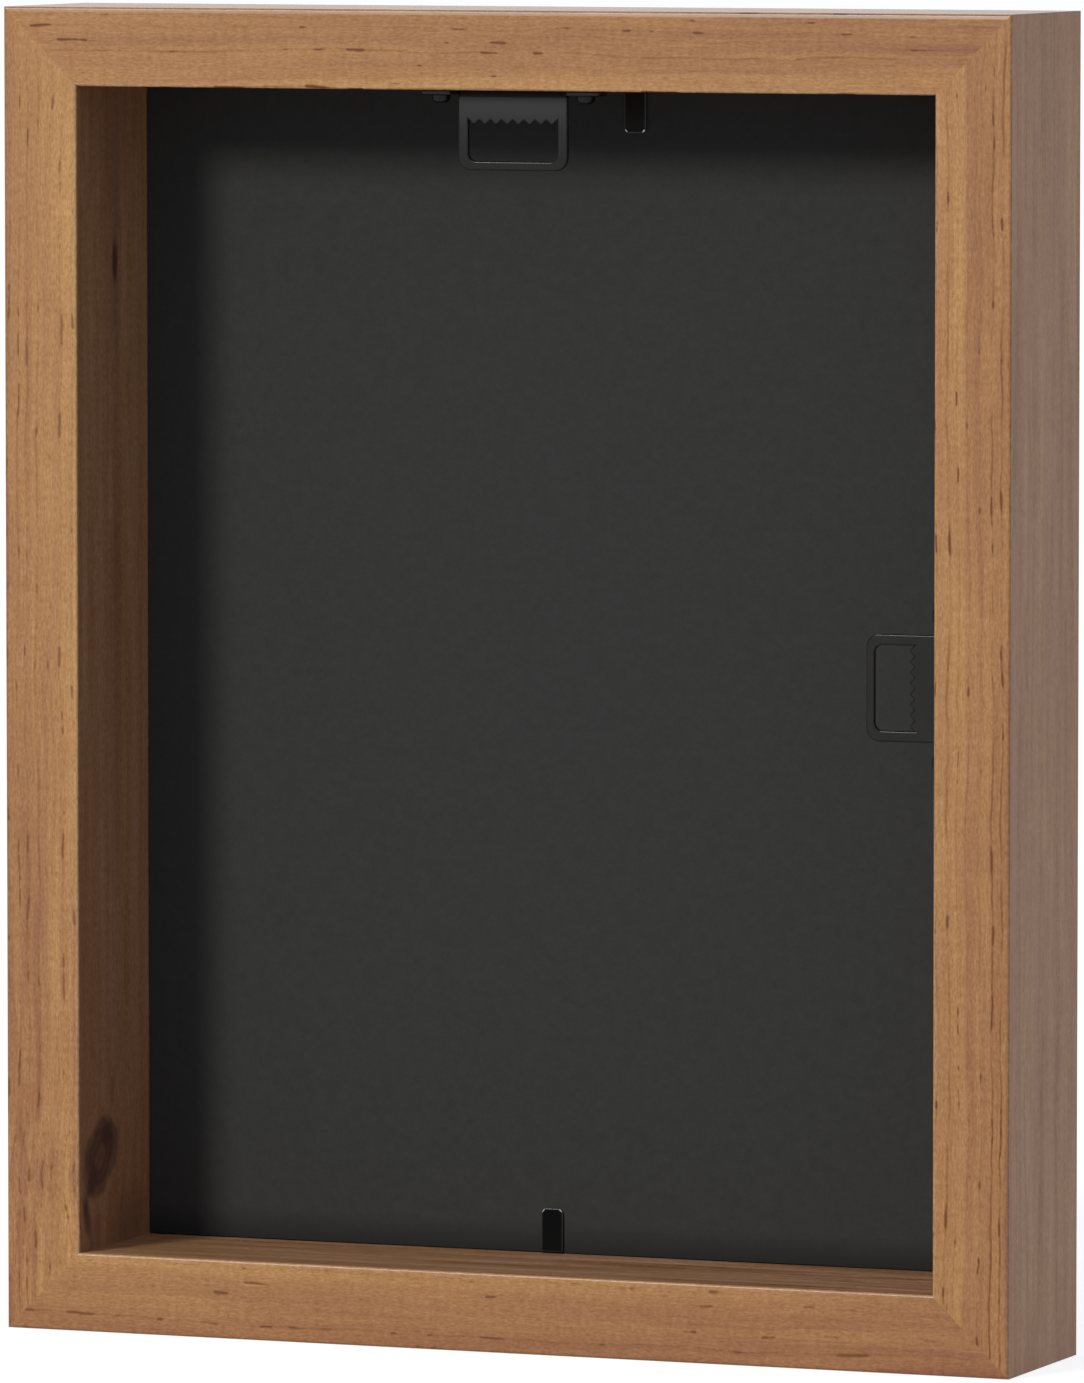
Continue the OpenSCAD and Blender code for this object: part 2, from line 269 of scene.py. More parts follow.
class Graph:
    """Writes a node tree line by line; every value is a number or another node's socket."""

    def __init__(self, tree):
        self.tree = tree
        tree.nodes.clear()

    def add(self, kind, inputs=(), **settings):
        node = self.tree.nodes.new(kind)
        for key, value in settings.items():
            setattr(node, key, value)
        for key, value in dict(inputs).items():
            self.feed(node.inputs[key], value)
        return node

    def feed(self, socket, value):
        if isinstance(value, bpy.types.NodeSocket):
            self.tree.links.new(value, socket)
        else:
            socket.default_value = value

    def math(self, operation, *values):
        return self.add("ShaderNodeMath", enumerate(values), operation=operation).outputs[0]

    def plus(self, a, b):
        return self.math("ADD", a, b)

    def minus(self, a, b):
        return self.math("SUBTRACT", a, b)

    def times(self, a, b):
        return self.math("MULTIPLY", a, b)

    def over(self, a, b):
        return self.math("DIVIDE", a, b)

    def step(self, value, low, high, start=0.0, end=1.0, way="SMOOTHSTEP"):
        """A soft step from start to end while the value goes from low to high."""
        inputs = {"Value": value, "From Min": low, "From Max": high, "To Min": start, "To Max": end}
        return self.add("ShaderNodeMapRange", inputs, interpolation_type=way).outputs[0]

    def ramp(self, value, low, high, start=0.0, end=1.0):
        """A straight ramp from start to end, level on both sides."""
        return self.step(value, low, high, start, end, "LINEAR")

    def point(self, x, y, z):
        return self.add("ShaderNodeCombineXYZ", {0: x, 1: y, 2: z}).outputs[0]

    def cells(self, place, sizes):
        """The place counted in cells of the sizes given, so that a pattern takes those sizes."""
        return self.point(*[self.over(value, size) for value, size in zip(place, sizes)])

    def noise(self, vector, detail=2.0, roughness=0.5):
        inputs = {"Vector": vector, "Scale": 1.0, "Detail": detail, "Roughness": roughness}
        return self.add("ShaderNodeTexNoise", inputs).outputs[0]

    def swing(self, vector, reach, detail=2.0, roughness=0.5):
        """Noise that swings about zero, out to about the reach given."""
        return self.times(self.minus(self.noise(vector, detail, roughness), 0.5), 2.0 * reach)

    def mix(self, factor, a, b, blend="MIX", clamp=True):
        settings = {"data_type": "RGBA", "blend_type": blend, "clamp_factor": clamp}
        return self.add("ShaderNodeMix", {0: factor, 6: a, 7: b}, **settings).outputs[2]

    def shade(self, colour, level):
        """The colour made darker and redder, or lighter and paler; a level of one leaves it as it is."""
        green = self.math("POWER", level, 1.4)
        blue = self.math("POWER", level, 2.2)
        tint = self.add("ShaderNodeCombineColor", {0: level, 1: green, 2: blue}).outputs[0]
        return self.mix(1.0, colour, tint, "MULTIPLY")

    def millimetres(self):
        """The point's place on the object, in millimetres, as three values."""
        place = self.add("ShaderNodeTexCoord").outputs["Object"]
        scaled = self.add("ShaderNodeVectorMath", {0: place, "Scale": 1.0 / MM}, operation="SCALE")
        return self.add("ShaderNodeSeparateXYZ", {0: scaled.outputs[0]}).outputs

    def bump(self, height, depth_mm):
        inputs = {"Height": height, "Distance": depth_mm * MM, "Strength": 1.0}
        return self.add("ShaderNodeBump", inputs).outputs[0]


def new_material(name):
    material = bpy.data.materials.new(name)
    material.use_nodes = True
    return material, Graph(material.node_tree)


def finish_surface(g, inputs):
    surface = g.add("ShaderNodeBsdfPrincipled", inputs)
    output = g.add("ShaderNodeOutputMaterial")
    g.feed(output.inputs["Surface"], surface.outputs[0])


def rail_place(g, rail):
    """A point's place on its rail, in millimetres.

    u runs along the rail, v out from the opening's wall and w in from the rear face.
    """
    x, y, z = g.millimetres()
    axes = {"x": x, "z": z}
    outer_face = getattr(cad_high if rail["outward"] > 0 else cad_low, rail["across"]) / MM
    wall = RAIL_W - rail["outward"] * outer_face
    v = g.math("MULTIPLY_ADD", axes[rail["across"]], rail["outward"], wall)
    return axes[rail["along"]], v, g.minus(REAR, y)


def rail_pairs(g, rail, u):
    """A function that takes one of the rail's pairs from its low end to its high end."""
    low = getattr(cad_low, rail["along"]) / MM
    high = getattr(cad_high, rail["along"]) / MM

    def along(key):
        return g.ramp(u, low, high, *rail[key])

    return along


def needles(g, place, sizes, half_width, share):
    """Thin ticks along the grain: some stretched cells hold one each, tapered at both ends."""
    cell = {"Vector": g.cells(place, sizes), "Scale": 1.0, "Randomness": 1.0}
    voronoi = g.add("ShaderNodeTexVoronoi", cell)
    lot = g.add("ShaderNodeSeparateColor", {0: voronoi.outputs["Color"]}).outputs
    size = g.math("MULTIPLY_ADD", lot[1], 0.6 * half_width, 0.4 * half_width)
    mark = g.step(g.minus(size, voronoi.outputs["Distance"]), 0.0, 0.5 * half_width)
    strength = g.step(lot[0], 1.0 - share, 1.0)
    return g.times(mark, g.math("POWER", strength, 0.35))


def oval_spread(g, u, w, oval):
    """How far a point lies from the middle of a leaning oval, where one is its rim."""
    lean = math.radians(oval["lean"])
    du = g.minus(u, oval["u"])
    dw = g.minus(w, oval["w"])
    long = g.plus(g.times(du, math.cos(lean)), g.times(dw, math.sin(lean)))
    long = g.over(long, oval["stretch"])
    short = g.minus(g.times(dw, math.cos(lean)), g.times(du, math.sin(lean)))
    return g.over(g.math("SQRT", g.plus(g.times(long, long), g.times(short, short))), oval["radius"])


def part_round_knot(g, w, spread):
    """Bends the depth across the grain, as fibres part round a branch."""
    held = g.math("MAXIMUM", spread, 1.0)
    part = g.minus(1.0, g.math("POWER", held, -3.0))
    return g.math("MULTIPLY_ADD", g.minus(w, BRANCH_KNOT["w"]), part, BRANCH_KNOT["w"])


def knot_darkness(g, spread, ragged_by):
    """A soft-edged knot: a brown body with fine rings round a lighter heart, which a dark line rims."""
    ragged = g.plus(spread, ragged_by)
    body = g.step(ragged, 0.65, 1.25, BRANCH_KNOT["dark"], 0.0)
    heart = g.step(ragged, 0.1, 0.6, 0.8, 1.0)
    rings = g.math("MULTIPLY_ADD", g.math("SINE", g.times(ragged, 21.0)), 0.1, 1.0)
    eye = g.step(g.math("ABSOLUTE", g.minus(ragged, 0.46)), 0.02, 0.12, 0.08, 0.0)
    rim = g.step(g.math("ABSOLUTE", g.minus(ragged, 0.95)), 0.02, 0.14, 0.1, 0.0)
    return g.plus(g.times(g.times(body, heart), rings), g.plus(eye, rim))


def wall_marks(g, u, v, w):
    """How dark the knot, the stains and a patch of painted shade are, and the depth of the fibres that part
    round the knot.
    """
    ragged_by = g.swing(g.cells((u, v, w), RAGGED), 0.34, 3.0)
    spread = oval_spread(g, u, w, BRANCH_KNOT)
    marks = knot_darkness(g, spread, ragged_by)
    for dark_patch in STAINS_AND_SHADE:
        soft = g.plus(oval_spread(g, u, w, dark_patch), g.times(ragged_by, 0.6))
        marks = g.plus(marks, g.step(soft, 0.2, 1.3, dark_patch["dark"], 0.0))
    return marks, part_round_knot(g, w, spread)


def growth_rings(g, place, pith, seed):
    """Counts growth rings out from the pith. They wander along the rail and differ in width."""
    slow = g.swing(g.cells(place, SLOW_WANDER), 2.2)
    quick = g.swing(g.cells(place, QUICK_WANDER), 1.1)
    tremble = g.swing(g.cells(place, TREMBLE), 0.3, 3.0)
    wander = g.plus(slow, g.plus(quick, tremble))
    out = g.minus(place[1], pith[0])
    deep = g.minus(place[2], pith[1])
    radius = g.plus(g.math("SQRT", g.plus(g.times(out, out), g.times(deep, deep))), wander)
    uneven = g.swing(g.point(g.over(radius, 6.0), seed, 0.0), 0.5, 1.0)
    return wander, g.plus(g.over(radius, RING_W), uneven)


def ring_lines(g, run, ring, rear, seed):
    """A thin line in each ring: faint along most of its length, and darkening into tapered dashes.

    The third value is the ring's own lot of tone.
    """
    index = g.math("FLOOR", ring)
    off = g.times(g.math("ABSOLUTE", g.minus(g.math("FRACT", ring), 0.5)), RING_W)
    draw = g.add("ShaderNodeTexWhiteNoise", {"W": g.plus(index, seed)}, noise_dimensions="1D")
    lot = g.add("ShaderNodeSeparateColor", {0: draw.outputs["Color"]}).outputs
    broken = g.noise(g.point(g.over(run, 15.0), g.times(index, 3.7), seed))
    broken = g.step(broken, 0.38, 0.62, 0.15, 1.0)
    line = g.times(g.step(off, 0.04, 0.4, 1.0, 0.0), broken)
    line = g.times(line, g.step(lot[0], 0.1, 0.9, 0.12, 0.55))
    line = g.times(line, g.math("MULTIPLY_ADD", rear, 0.7, 0.3))
    flare = g.noise(g.point(g.over(run, 9.0), g.times(index, 5.3), seed + 9.0), 3.0)
    flare = g.step(g.plus(flare, g.times(lot[0], 0.08)), 0.58, 0.73)
    dash = g.step(off, 0.0, g.math("MULTIPLY_ADD", flare, 0.36, 0.2), 1.0, 0.0)
    dash = g.times(dash, g.step(flare, 0.05, 0.75))
    return line, dash, lot[2]


def stain_tone(g, grain, v, streaks, ring_tone, along):
    """From honey at nought to brown at one: a honey band by the opening and browner outwards, streaked."""
    band = g.step(g.minus(grain[1], along("honey_w")), -0.8, 0.8, -0.22, 0.12)
    slope = g.times(g.minus(g.over(v, RAIL_W), 0.5), along("slope"))
    zone = g.plus(g.times(band, along("honey")), slope)
    figure = along("figure")
    drift = g.swing(g.cells(grain, DRIFT), 0.5)
    drift = g.times(drift, g.math("MULTIPLY_ADD", figure, 0.7, 0.3))
    tone = g.plus(along("tones"), zone)
    tone = g.plus(tone, g.plus(drift, g.times(streaks, figure)))
    tone = g.plus(tone, g.math("MULTIPLY_ADD", ring_tone, 0.2, -0.1))
    return g.math("MINIMUM", g.math("MAXIMUM", tone, -0.3), 1.4)


def stained_pine(name, rail, marked):
    """Straight-grained stained pine for one rail, with the knot, stains and a patch of painted shade where
    it is marked.
    """
    material, g = new_material(name)
    seed = rail["seed"]
    long_lines, dashes = rail["lines"]
    u, v, w = rail_place(g, rail)
    along = rail_pairs(g, rail, u)
    run = g.plus(u, seed)
    rear = g.step(w, *REAR_FADE, 1.0, 0.12)
    outer = g.step(v, *OUTER_FADE)
    marks, flow_w = wall_marks(g, u, v, w) if marked else (0.0, w)

    # Ring lines, and seams of resin: dashes and ticks, strongest on the rear face
    wander, ring = growth_rings(g, (run, v, flow_w), rail["pith"], seed)
    line, dash, ring_tone = ring_lines(g, run, ring, rear, seed)
    tick = needles(g, (run, g.plus(v, wander), flow_w), TICK, 0.15, 0.25)
    seams = g.times(g.times(g.plus(dash, g.times(tick, TICK_SHARE)), rear), dashes)

    # Fine structure: streaks and fibres, the mottle of the stain and curl across the grain
    grain = (run, g.plus(v, g.times(wander, 1.1)), flow_w)
    streaks = g.swing(g.cells(grain, STREAK), 1.0, 4.0, 0.6)
    fibre = g.swing(g.cells(grain, FIBRE), 1.0, 3.0, 0.6)
    mottle = g.swing(g.cells((u, v, w), MOTTLE), 1.0, 3.0, 0.7)
    curl = g.swing(g.cells((u, v, w), CURL), 1.0)

    # Stain by tone, greyed inside the box as painted haze of cool light, and paler along the eased edges by
    # the opening, part rub and part painted highlight
    colour = g.mix(stain_tone(g, grain, v, streaks, ring_tone, along), HONEY, BROWN, clamp=False)
    inner_haze = g.times(g.step(v, *WALL_FADE, 1.0, 0.0), g.step(w, *EASED_EDGE, 0.0, 0.8))
    colour = g.mix(inner_haze, colour, INSIDE_HAZE)
    edge = g.math("MINIMUM", v, g.minus(RAIL_W, v))
    corner = g.math("SQRT", g.plus(g.times(edge, edge), g.times(w, w)))
    eased = g.step(corner, *EASED_EDGE, 1.0, 0.0)
    rub_and_highlight = g.times(g.times(eased, g.step(v, 2.0, 4.0, 1.0, 0.0)), g.step(fibre, -0.5, 0.5, 0.22, 0.45))
    colour = g.mix(rub_and_highlight, colour, RUB_HIGHLIGHT_PALE)

    # The grain shades the stain, painted sheen greys the outer faces, and seams, knot, stains, painted
    # shade and a painted highlight line by the rim lie over it
    level = g.plus(g.times(fibre, FIBRE_SHADE), g.times(mottle, MOTTLE_SHADE))
    banding = g.times(g.step(w, 0.5, 1.5), g.math("MULTIPLY_ADD", outer, OUTER_STREAKS, along("wall")))
    level = g.plus(g.plus(level, g.times(curl, CURL_SHADE)), g.times(streaks, banding))
    level = g.times(g.plus(level, 1.0), g.minus(1.0, g.times(line, long_lines)))
    colour = g.shade(colour, level)
    # Painted sheen greys the outer faces
    colour = g.mix(g.times(outer, along("painted_sheen")), colour, OUTER_SHEEN, "MULTIPLY")
    colour = g.mix(g.times(seams, SEAM_DARK), colour, RESIN)
    colour = g.mix(marks, colour, KNOT)
    # Painted highlight: a pale line along the outer rear edge
    rim = g.step(g.math("ABSOLUTE", g.minus(v, RAIL_W - EDGE_HIGHLIGHT_INSET)), 0.1, 0.6, 1.0, 0.0)
    rim = g.times(g.times(rim, g.step(w, 0.3, 0.8, 1.0, 0.0)), along("rim"))
    colour = g.mix(rim, colour, EDGE_HIGHLIGHT)

    # Eased edges, and a polished outer face, are smoother than the rest
    smoother = g.math("MAXIMUM", eased, g.times(outer, rail["polish"]))
    satin = g.math("MULTIPLY_ADD", smoother, -WOOD_POLISH, WOOD_ROUGHNESS)
    height = g.plus(g.times(fibre, 0.5), g.times(mottle, 0.5))
    height = g.minus(height, g.times(seams, 0.8))
    finish_surface(g, {
        "Base Color": colour,
        "Roughness": g.plus(g.times(mottle, 0.1), satin),
        "Specular IOR Level": WOOD_SPECULAR,
        "Normal": g.bump(height, WOOD_RELIEF),
    })
    return material


def bare_wood():
    """The hidden splines: plain pale wood with fine lines along their length."""
    material, g = new_material("bare_spline_wood")
    fibre = g.noise(g.cells(g.millimetres(), SPLINE_FIBRE), 4.0, 0.6)
    finish_surface(g, {
        "Base Color": g.mix(fibre, SPLINE_PALE, SPLINE_DEEP),
        "Roughness": g.math("MULTIPLY_ADD", fibre, 0.15, 0.6),
        "Normal": g.bump(fibre, 0.03),
    })
    return material


def clear_pane():
    """Polished clear sheet with the faintest uneven haze."""
    material, g = new_material("clear_pane")
    haze = g.noise(g.cells(g.millimetres(), PANE_HAZE), 3.0)
    finish_surface(g, {
        "Base Color": PANE_TINT,
        "Roughness": g.math("MULTIPLY_ADD", haze, 0.03, 0.005),
        "IOR": PANE_IOR,
        "Transmission Weight": 1.0,
    })
    return material


def charcoal_board():
    """Matte charcoal board with a fine paper grain and soft blotches, and painted shade darker along its
    foot.
    """
    material, g = new_material("charcoal_board")
    place = g.millimetres()
    grain = g.noise(g.cells(place, BOARD_GRAIN), 2.0, 0.6)
    blotch = g.noise(g.cells(place, BOARD_BLOTCH), 3.0, 0.6)
    blend = g.plus(g.times(grain, 0.5), g.times(blotch, 0.5))
    colour = g.mix(g.step(blend, 0.3, 0.7), BOARD_DEEP, BOARD_PALE)
    # Painted shade: darker up the board's foot, by the bottom wall
    foot_shade = g.ramp(place["Z"], RAIL_W, RAIL_W + FOOT_SHADE_REACH, FOOT_SHADE_DARK, 0.0)
    finish_surface(g, {
        "Base Color": g.mix(foot_shade, colour, BOARD_FOOT_SHADE),
        "Roughness": g.math("MULTIPLY_ADD", grain, 0.1, 0.8),
        "Specular IOR Level": 0.08,
        "Normal": g.bump(grain, BOARD_RELIEF),
    })
    return material


def black_paint(name, painted_light_at=None, painted_light_colour=PLATE_LIGHT_GREY, metal=0.0):
    """Painted steel: faint orange peel, thin wear of the gloss and a slightly uneven warm black.

    Where painted light is given it shows another colour there, and metal as far as given: a paler plate, or
    a glint of bare steel.
    """
    material, g = new_material(name)
    paint = PAINTS[name]
    base = paint["base"]
    place = g.millimetres()
    peel = g.noise(g.cells(place, [paint["peel"]] * 3), 3.0, 0.6)
    wear = g.noise(g.cells(place, PAINT_WEAR), 3.0, 0.6)
    black = (1.1 * base, base, 0.85 * base, 1)
    worn = (2.0 * base, 1.8 * base, 1.5 * base, 1)
    inputs = {
        "Base Color": g.mix(wear, black, worn),
        "Roughness": g.math("MULTIPLY_ADD", wear, 0.1, paint["rough"]),
        "Specular IOR Level": paint["gloss"],
        "Normal": g.bump(peel, PEEL_RELIEF),
    }
    # Painted light: a paler colour, or metal for a glint, where it is given
    if painted_light_at:
        share = painted_light_at(g, *place)
        inputs["Base Color"] = g.mix(share, inputs["Base Color"], painted_light_colour)
        if metal:
            inputs["Metallic"] = g.times(share, metal)
    finish_surface(g, inputs)
    return material


def plate_painted_light(hanger):
    """Painted light on a hanger: most on the plate by the rail, less along the loop's sides, none at its
    foot.
    """
    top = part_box(hanger)[1].z / MM

    def share(g, x, y, z):
        drop = g.minus(top, z)
        plate = g.ramp(drop, *PLATE_FADE, 1.0, LOOP_LIGHT)
        return g.plus(plate, g.ramp(drop, *LOOP_FADE, 0.0, -LOOP_LIGHT))

    return share


def corner_glint(tab):
    """Painted glint on a tab: bare bright metal in place of the paint at its two free corners."""
    low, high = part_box(tab)
    middle = (low + high) / 2 / MM
    free_z = (low.z if middle.z > CENTRE.z / MM else high.z) / MM
    half = (high.x - low.x) / 2 / MM

    def share(g, x, y, z):
        across = g.minus(g.math("ABSOLUTE", g.minus(x, middle.x)), half)
        along = g.minus(z, free_z)
        reach = g.math("SQRT", g.plus(g.times(across, across), g.times(along, along)))
        ragged = g.swing(g.cells((x, y, z), GLINT_RAGGED), GLINT_SWING)
        return g.step(g.plus(reach, ragged), *GLINT_FADE, 1.0, 0.0)

    return share


def cover(obj, *materials):
    """Fills an object's slots in turn; its faces keep their slot numbers."""
    slots = obj.data.materials
    for index, material in enumerate(materials):
        if index < len(slots):
            slots[index] = material
        else:
            slots.append(material)


def plain_mesh(piece):
    """Turns a piece's modifiers into its own mesh."""
    done = piece.evaluated_get(bpy.context.evaluated_depsgraph_get())
    mesh = bpy.data.meshes.new_from_object(done)
    piece.modifiers.clear()
    piece.data = mesh


def new_piece(name, mesh):
    piece = bpy.data.objects.new(name, mesh)
    bpy.context.scene.collection.objects.link(piece)
    return piece


def softened_copy(name, node, width):
    """A merged copy of a CAD node with its sheared edges rounded over; the rounds take the second slot."""
    shape = bmesh.new()
    shape.from_mesh(NODES[node].data)
    bmesh.ops.remove_doubles(shape, verts=shape.verts, dist=MERGE_GAP)
    bmesh.ops.dissolve_limit(shape, angle_limit=FLAT_ANGLE, verts=shape.verts, edges=shape.edges)
    sheared = [e for e in shape.edges if e.is_manifold and e.calc_face_angle() > SHEARED_ANGLE]
    rounded = bmesh.ops.bevel(
        shape, geom=sheared, offset=width, offset_type="OFFSET", segments=ROUND_STEPS,
        profile=0.5, affect="EDGES", clamp_overlap=True,
    )
    for face in shape.faces:
        face.smooth = True
        face.material_index = 0
    for face in rounded["faces"]:
        face.material_index = 1
    mesh = bpy.data.meshes.new(name)
    shape.to_mesh(mesh)
    shape.free()
    piece = new_piece(name, mesh)
    flatten = piece.modifiers.new("flat_faces", "WEIGHTED_NORMAL")
    flatten.weight = 100
    plain_mesh(piece)
    return piece


def place_piece(piece, body, slot, *stood_for):
    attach(piece, body)
    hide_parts(*stood_for)


def turned_screw(g, given):
    """One pan-head screw on the Z axis, turned from a flat grid: head below zero, shank above."""
    dome_end, under_end, shank_end = 0.26, 0.3, 0.88
    counts = {"Vertices X": SCREW_ROUND + 1, "Vertices Y": SCREW_ROWS + 1}
    blank = g.add("GeometryNodeMeshGrid", {"Size X": 1.0, "Size Y": 1.0, **counts})
    place = g.add("ShaderNodeSeparateXYZ", {0: g.add("GeometryNodeInputPosition").outputs[0]}).outputs
    turn = g.plus(place[0], 0.5)
    down = g.plus(place[1], 0.5)
    head_r = g.over(given["Head diameter"], 2.0)
    shank_r = g.over(given["Shank diameter"], 2.0)

    # Outline: domed head, flat underside, straight shank, point
    dome = g.ramp(down, 0.0, dome_end, 0.0, math.pi / 2)
    under = g.ramp(down, dome_end, under_end)
    shank = g.ramp(down, under_end, shank_end)
    point = g.ramp(down, shank_end, 1.0)
    radius = g.times(head_r, g.math("POWER", g.math("SINE", dome), 0.62))
    radius = g.minus(radius, g.times(under, g.minus(head_r, shank_r)))
    radius = g.minus(radius, g.times(point, shank_r))
    height = g.times(g.math("POWER", g.math("COSINE", dome), 0.7), g.times(given["Head height"], -1.0))
    straight = g.minus(given["Shank length"], given["Point length"])
    height = g.plus(height, g.times(shank, straight))
    height = g.plus(height, g.times(point, given["Point length"]))

    # Thread: a groove that winds along the shank and fades at both ends
    phase = g.math("FRACT", g.minus(g.over(height, given["Thread pitch"]), turn))
    ridge = g.minus(1.0, g.math("ABSOLUTE", g.math("MULTIPLY_ADD", phase, 2.0, -1.0)))
    groove = g.step(ridge, 0.35, 0.95, 1.0, 0.0)
    held = g.times(g.ramp(shank, 0.05, 0.14), g.minus(1.0, point))
    radius = g.minus(radius, g.times(g.times(groove, held), given["Thread depth"]))

    angle = g.times(turn, 2.0 * math.pi)
    round_x = g.times(radius, g.math("COSINE", angle))
    round_y = g.times(radius, g.math("SINE", angle))
    moved = {"Geometry": blank.outputs[0], "Position": g.point(round_x, round_y, height)}
    turned = g.add("GeometryNodeSetPosition", moved).outputs[0]
    closed = g.add("GeometryNodeMergeByDistance", {"Geometry": turned, "Distance": SCREW_SEAM}).outputs[0]

    # Cross recess
    recess = g.add("GeometryNodeMeshBoolean", operation="DIFFERENCE", solver="EXACT")
    g.feed(recess.inputs["Mesh 1"], closed)
    deep = given["Head height"]
    long, narrow = given["Recess length"], given["Recess width"]
    drop = g.point(0.0, 0.0, g.times(given["Head height"], -1.0))
    for size in (g.point(long, narrow, deep), g.point(narrow, long, deep)):
        bar = g.add("GeometryNodeMeshCube", {"Size": size}).outputs[0]
        cutter = g.add("GeometryNodeTransform", {"Geometry": bar, "Translation": drop}).outputs[0]
        g.feed(recess.inputs["Mesh 2"], cutter)
    smooth = g.add("GeometryNodeSetShadeSmooth", {"Geometry": recess.outputs[0]}).outputs[0]
    bend = g.add("GeometryNodeInputMeshEdgeAngle").outputs["Unsigned Angle"]
    sharp = g.add("FunctionNodeCompare", {0: bend, 1: SCREW_SHARP}, operation="GREATER_THAN").outputs[0]
    edges = {"Geometry": smooth, "Selection": sharp, "Shade Smooth": False}
    return g.add("GeometryNodeSetShadeSmooth", edges, domain="EDGE").outputs[0]


def screw_tree():
    """A node tree that sets one screw on every point, driven along the point's own direction."""
    tree = bpy.data.node_groups.new("pan_head_screws", "GeometryNodeTree")
    g = Graph(tree)
    kinds = {"Places": "NodeSocketGeometry", "Seed": "NodeSocketInt", "Paint": "NodeSocketMaterial"}
    kinds.update({name: "NodeSocketFloat" for name in ("Head height", *SCREW_SIZES)})
    keys = {}
    for name, kind in kinds.items():
        keys[name] = tree.interface.new_socket(name, in_out="INPUT", socket_type=kind).identifier
    tree.interface.new_socket("Screws", in_out="OUTPUT", socket_type="NodeSocketGeometry")
    given = g.add("NodeGroupInput").outputs

    named = g.add("GeometryNodeInputNamedAttribute", {"Name": "drive"}, data_type="FLOAT_VECTOR")
    aim = g.add("FunctionNodeAlignRotationToVector", {"Vector": named.outputs[0]}, axis="Z").outputs[0]
    lot = g.add("FunctionNodeRandomValue", {2: 0.0, 3: math.pi, "Seed": given["Seed"]}, data_type="FLOAT")
    spin = g.add("FunctionNodeAxisAngleToRotation", {"Axis": (0, 0, 1), "Angle": lot.outputs[1]}).outputs[0]
    turned = {"Rotation": aim, "Rotate By": spin}
    turned = g.add("FunctionNodeRotateRotation", turned, rotation_space="LOCAL").outputs[0]
    set_out = {"Points": given["Places"], "Instance": turned_screw(g, given), "Rotation": turned}
    screws = g.add("GeometryNodeInstanceOnPoints", set_out).outputs[0]
    real = g.add("GeometryNodeRealizeInstances", {"Geometry": screws}).outputs[0]
    painted = g.add("GeometryNodeSetMaterial", {"Geometry": real, "Material": given["Paint"]}).outputs[0]
    output = g.add("NodeGroupOutput")
    g.feed(output.inputs["Screws"], painted)
    return tree, keys


def hanger_screws(name, nodes, drive, head, tree, keys, paint):
    """A hanger's two screws as one piece, each under its own ear."""
    places = []
    for node in nodes:
        low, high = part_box(node)
        middle = (low + high) / 2
        reach = abs((high - low).dot(drive)) / 2
        places.append(middle + drive * (head - reach))
    mesh = bpy.data.meshes.new(name)
    mesh.from_pydata(places, [], [])
    mesh.attributes.new("drive", "FLOAT_VECTOR", "POINT").data.foreach_set("vector", [*drive] * len(nodes))
    piece = new_piece(name, mesh)
    maker = piece.modifiers.new("screws", "NODES")
    maker.node_group = tree
    for size_name, size in SCREW_SIZES.items():
        maker[keys[size_name]] = size
    maker[keys["Head height"]] = head
    maker[keys["Seed"]] = SCREW_SEED
    maker[keys["Paint"]] = paint
    plain_mesh(piece)
    return piece


def seen_directly(g):
    """One where a camera, mirror or glass ray looks, and nought for light that bounces."""
    path = g.add("ShaderNodeLightPath").outputs
    seen = g.math("MAXIMUM", path["Is Camera Ray"], path["Is Glossy Ray"])
    return g.math("MAXIMUM", seen, path["Is Transmission Ray"])


def white_world():
    """A sky that is white where it is seen and lights the box more weakly, a little blue."""
    world = bpy.data.worlds.new("white_studio")
    world.use_nodes = True
    g = Graph(world.node_tree)
    seen = seen_directly(g)
    level = g.math("MULTIPLY_ADD", seen, 1.0 - SKY_LEVEL, SKY_LEVEL)
    tint = g.mix(seen, SKY_TINT, WHITE)
    sky = g.add("ShaderNodeBackground", {"Color": tint, "Strength": level})
    output = g.add("ShaderNodeOutputWorld")
    g.feed(output.inputs["Surface"], sky.outputs[0])
    bpy.context.scene.world = world


def pale_floor():
    """A floor that shows near white with the box's shadow on it, and bounces light as a pale grey."""
    material, g = new_material("pale_floor")
    bounce = g.add("ShaderNodeBsdfDiffuse", {"Color": FLOOR_COLOUR})
    shadow = g.add("ShaderNodeBsdfDiffuse", {"Color": FLOOR_SHADE})
    glow = g.add("ShaderNodeEmission", {"Color": WHITE, "Strength": FLOOR_GLOW})
    shown = g.add("ShaderNodeAddShader", {0: shadow.outputs[0], 1: glow.outputs[0]})
    mixed = g.add("ShaderNodeMixShader", {0: seen_directly(g), 1: bounce.outputs[0], 2: shown.outputs[0]})
    output = g.add("ShaderNodeOutputMaterial")
    g.feed(output.inputs["Surface"], mixed.outputs[0])
    material.cycles.emission_sampling = "NONE"
    half = FLOOR_HALF
    corners = [(-half, -half), (half, -half), (half, half), (-half, half)]
    mesh = bpy.data.meshes.new("pale_floor")
    mesh.from_pydata([(x, y, cad_low.z - FLOOR_DROP) for x, y in corners], [], [(0, 1, 2, 3)])
    floor = new_piece("pale_floor", mesh)
    cover(floor, material)


def softbox(name, place, size, power):
    light = bpy.data.lights.new(name, "AREA")
    light.shape = "DISK"
    light.size = size
    light.energy = power
    lamp = bpy.data.objects.new(name, light)
    lamp.location = place
    lamp.rotation_euler = (CENTRE - place).to_track_quat("-Z", "Y").to_euler()
    bpy.context.scene.collection.objects.link(lamp)


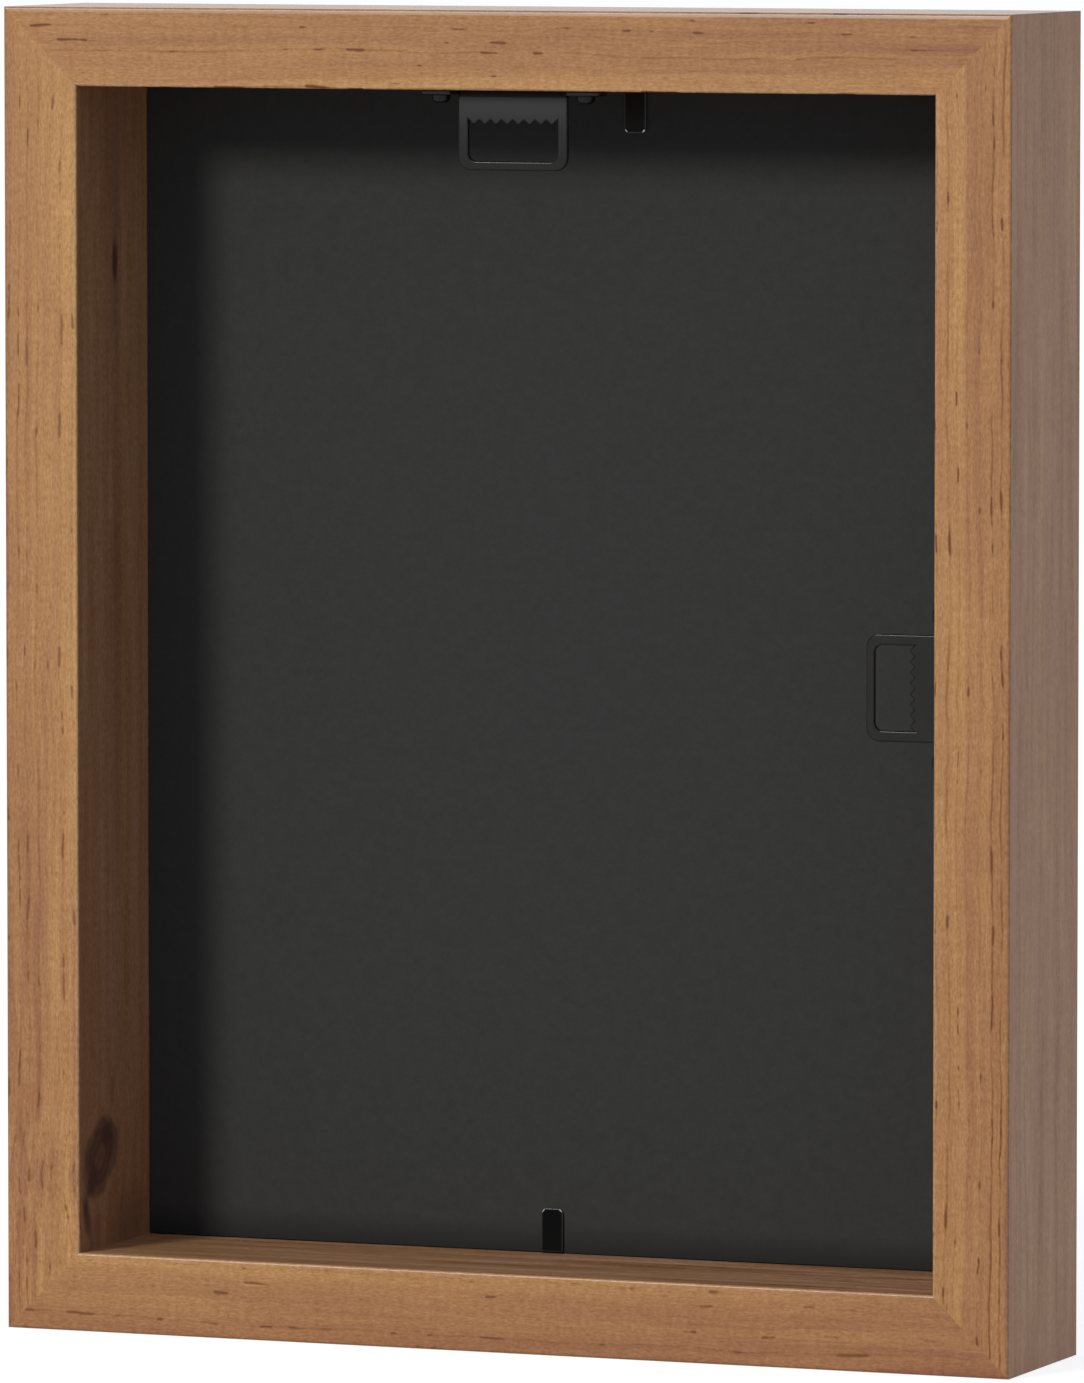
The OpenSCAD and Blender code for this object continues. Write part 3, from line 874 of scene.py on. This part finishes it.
def photograph_camera():
    az, el = CAMERA_AZIMUTH, CAMERA_ELEVATION
    back = Vector((math.sin(az) * math.cos(el), -math.cos(az) * math.cos(el), math.sin(el)))
    right = Vector((math.cos(az), math.sin(az), 0))
    up = back.cross(right)
    aim = CENTRE + right * AIM_RIGHT + up * AIM_UP
    data = bpy.data.cameras.new("photograph_view")
    data.sensor_width = SENSOR
    data.lens = FOCAL_PIXELS * SENSOR / IMAGE_LONG_SIDE
    camera = bpy.data.objects.new("photograph_view", data)
    camera.location = aim + back * CAMERA_DISTANCE
    camera.rotation_euler = (-back).to_track_quat("-Z", "Y").to_euler()
    bpy.context.scene.collection.objects.link(camera)
    bpy.context.scene.camera = camera


# The box itself: stained rails on hidden splines, with the pane and the board at its front
for node, rail in RAILS.items():
    cover(NODES[node], stained_pine(node + "_pine", rail, node == MARKED_RAIL))
spline_wood = bare_wood()
for node in ("top_left_spline", "top_right_spline", "bottom_left_spline", "bottom_right_spline"):
    cover(NODES[node], spline_wood)
cover(NODES["glazing_pane"], clear_pane())
cover(NODES["backing_panel"], charcoal_board())

# Stamped hangers, of which only the top one has painted light down its plate. They and their screws cast no
# shadow on the board
hanger_edges = black_paint("hanger_edge_black")
hanger_paints = {
    # The top hanger's plate carries painted light, palest just under the rail
    "top_hanger": black_paint("top_hanger_black", plate_painted_light("top_hanger")),
    "side_hanger": black_paint("side_hanger_black"),
}
for node, paint in hanger_paints.items():
    plate = softened_copy(node + "_plate", node, HANGER_ROUND)
    cover(plate, paint, hanger_edges)
    plate.visible_shadow = False
    place_piece(plate, "box", "black_steel", node)

# Bendable tabs: each blade rides on its own body, and its shank stays in the rail
for node in ("top_tab", "bottom_tab"):
    # Painted glints: bare bright steel round each tab's free corners
    painted_glint = {"painted_light_at": corner_glint(node), "painted_light_colour": GLINT_STEEL, "metal": 1.0}
    paint = black_paint(node + "_black", **painted_glint)
    edges = black_paint(node + "_edge_black", **painted_glint)
    blade = softened_copy(node + "_blade", node, TAB_ROUND)
    cover(blade, paint, edges)
    place_piece(blade, node, "black_tab", node)
    cover(NODES[node + "_shank"], paint)

# Hanger screws
screw_black = black_paint("black_screw")
tree, keys = screw_tree()
for name, lot in SCREW_SETS.items():
    screws = hanger_screws(name, lot["nodes"], lot["drive"], lot["head"], tree, keys, screw_black)
    screws.visible_shadow = False
    place_piece(screws, "box", "black_screw", *lot["nodes"])

# Studio
white_world()
pale_floor()
softbox("key_softbox", CENTRE + KEY_TOWARDS * KEY_DISTANCE, KEY_SIZE, KEY_POWER)
softbox("front_fill", FILL_PLACE, FILL_SIZE, FILL_POWER)
photograph_camera()
bpy.context.scene.view_settings.view_transform = "Standard"
